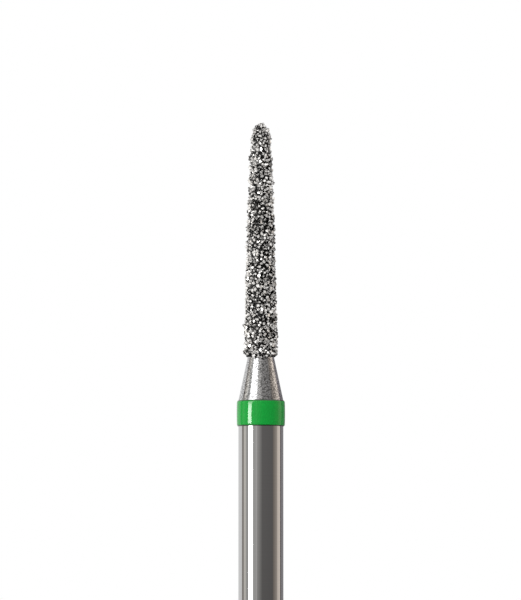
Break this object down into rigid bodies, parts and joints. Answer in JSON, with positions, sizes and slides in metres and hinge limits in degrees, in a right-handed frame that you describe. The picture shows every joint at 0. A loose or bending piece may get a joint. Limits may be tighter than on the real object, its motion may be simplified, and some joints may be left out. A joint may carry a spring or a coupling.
{
  "type": "dental bur",
  "caption": "Slender tapered rotary dental bur with a rounded tip, a diamond grit coat, a conical neck, a green band and a plain cylindrical shank.",
  "frame": {"origin": "centre of the shank's flat end face", "axes": "+Z along the bur's axis, from the shank's end face to the tip; the bur is round, so +X and +Y are any two square directions"},
  "size_m": [0.0018, 0.0018, 0.021],
  "materials": {
    "steel": "ground and polished, with fine turning marks on the neck",
    "nickel": "rough plated nickel",
    "diamond": "sharp broken facets, glossy",
    "band": "smooth glossy lacquer"
  },
  "bodies": {
    "root": {"steel_blank": "steel", "nickel_bond": "nickel", "diamond_grit": "diamond", "color_band": "band"}
  },
  "joints": []
}
